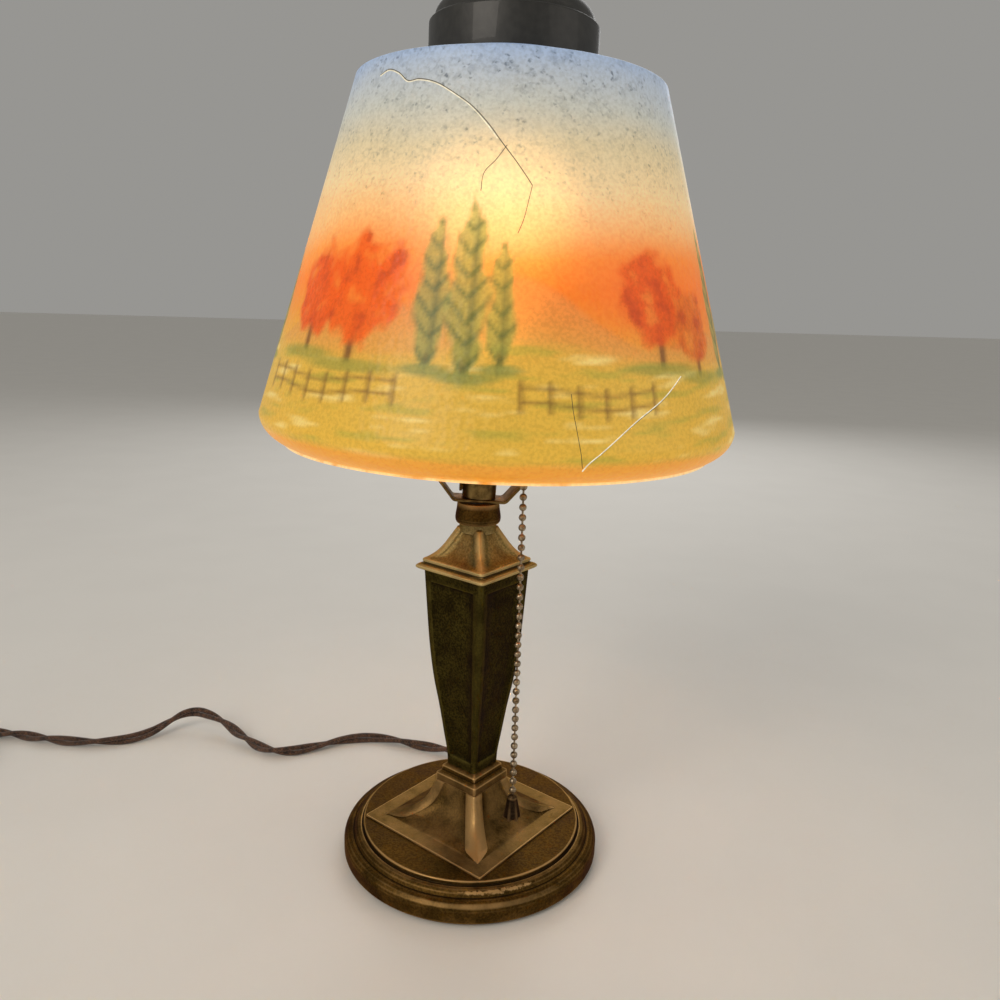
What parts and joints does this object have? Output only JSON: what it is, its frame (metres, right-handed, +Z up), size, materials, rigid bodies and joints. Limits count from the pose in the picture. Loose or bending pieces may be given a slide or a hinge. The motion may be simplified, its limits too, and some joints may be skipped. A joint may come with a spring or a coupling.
{
  "type": "table lamp",
  "caption": "Table lamp: moulded round foot, tapered square stem, bead pull chain, flat harp strap round the bulb and a conical reverse painted glass shade under a domed cap.",
  "frame": {"origin": "centre of the felt pad's underside, on the table", "axes": "+Z up along the stem; -Y towards the stem's front corner; +X along the strap, to the picture's right"},
  "size_m": [0.4701, 0.2235, 0.3924],
  "materials": {
    "bronze": "cast zinc alloy with a brown-green bronze patina, worn bright on its edges",
    "brass": "aged sheet and turned brass",
    "steel": "plain steel, slightly tarnished",
    "cap_tin": "spun sheet with dark grey-brown lacquer",
    "fibre": "vulcanised fibre and pressed paper, matte",
    "phenolic": "dark brown moulded phenolic resin",
    "clear_glass": "clear blown glass",
    "painted_glass": "pebbled glass painted on its inside, warm landscape colours",
    "felt": "thick green-brown felt",
    "braid": "brown rayon braid over twisted cord"
  },
  "bodies": {
    "stand": {"felt_pad": "felt", "foot_casting": "bronze", "column_casting": "bronze", "capital_casting": "bronze", "neck_collar": "bronze", "threaded_pipe": "steel", "foot_washer": "steel", "foot_nut": "steel", "harp_strap": "brass", "socket_cap": "brass", "socket_set_screw": "brass", "socket_shell": "brass", "insulating_sleeve": "fibre", "switch_body": "phenolic", "terminal_screw_left": "brass", "terminal_screw_right": "brass", "switch_axle": "steel", "return_spring": "steel", "screw_shell": "brass", "centre_contact": "brass", "chain_guide": "brass", "seat_disc": "steel", "shade_stud": "steel", "stud_nut": "steel", "cord_bushing": "phenolic", "inner_lead": "braid", "supply_cord": "braid", "cord_coil": "braid", "plug_body": "phenolic", "plug_cover": "fibre", "plug_blade_left": "brass", "plug_blade_right": "brass"},
    "pull_top": {"first_bead": "brass"},
    "pull_strand": {"pull_chain": "brass", "pull_bell": "bronze"},
    "chain_slider": {"inner_chain": "brass"},
    "lever": {"pull_lever": "brass"},
    "ratchet": {"ratchet_wheel": "brass"},
    "bulb": {"bulb_contact": "steel", "bulb_base": "brass", "bulb_glass": "clear_glass", "bulb_mount": "clear_glass"},
    "shade": {"seat_gasket": "felt", "glass_shade": "painted_glass", "shade_cap": "cap_tin"},
    "finial": {"finial": "bronze"}
  },
  "joints": [
    {"name": "chain_pull", "type": "slide", "parent": "stand", "child": "pull_top", "axis": [-0.0558, 0, -0.9984], "range_m": [0, 0.007], "stiffness_N_per_m": 800, "springref_m": -0.002},
    {"name": "chain_swing", "type": "hinge", "parent": "pull_top", "child": "pull_strand", "pos_m": [0.01635, -0.02451, 0.19863], "axis": [-0.8319, -0.5549, 0], "range_deg": [-2.5, 25]},
    {"name": "inner_chain_slide", "type": "slide", "parent": "stand", "child": "chain_slider", "axis": [0.5142, -0.8572, -0.0288], "range_m": [0, 0.007]},
    {"name": "lever_swing", "type": "hinge", "parent": "stand", "child": "lever", "pos_m": [0.00165, 0, 0.19945], "axis": [0.8558, 0.515, -0.0478], "range_deg": [0, 60.51]},
    {"name": "ratchet_turn", "type": "hinge", "parent": "stand", "child": "ratchet", "pos_m": [0.00165, 0, 0.19945], "axis": [0.8558, 0.515, -0.0478], "range_deg": [0, 45]},
    {"name": "bulb_turn", "type": "hinge", "parent": "stand", "child": "bulb", "pos_m": [0.00558, 0, 0.26984], "axis": [0.0558, 0, 0.9984], "continuous": true},
    {"name": "shade_turn", "type": "hinge", "parent": "stand", "child": "shade", "pos_m": [0.00938, 0, 0.33774], "axis": [0.0157, 0, 0.9999], "continuous": true},
    {"name": "finial_turn", "type": "hinge", "parent": "stand", "child": "finial", "pos_m": [0.01008, 0, 0.38273], "axis": [0.0157, 0, 0.9999], "continuous": true}
  ],
  "couplings": [
    {"joint": "inner_chain_slide", "follows": "chain_pull", "ratio": 1},
    {"joint": "lever_swing", "follows": "chain_pull", "rad_per_m": 150.88},
    {"joint": "ratchet_turn", "follows": "chain_pull", "rad_per_m": 112.2}
  ]
}
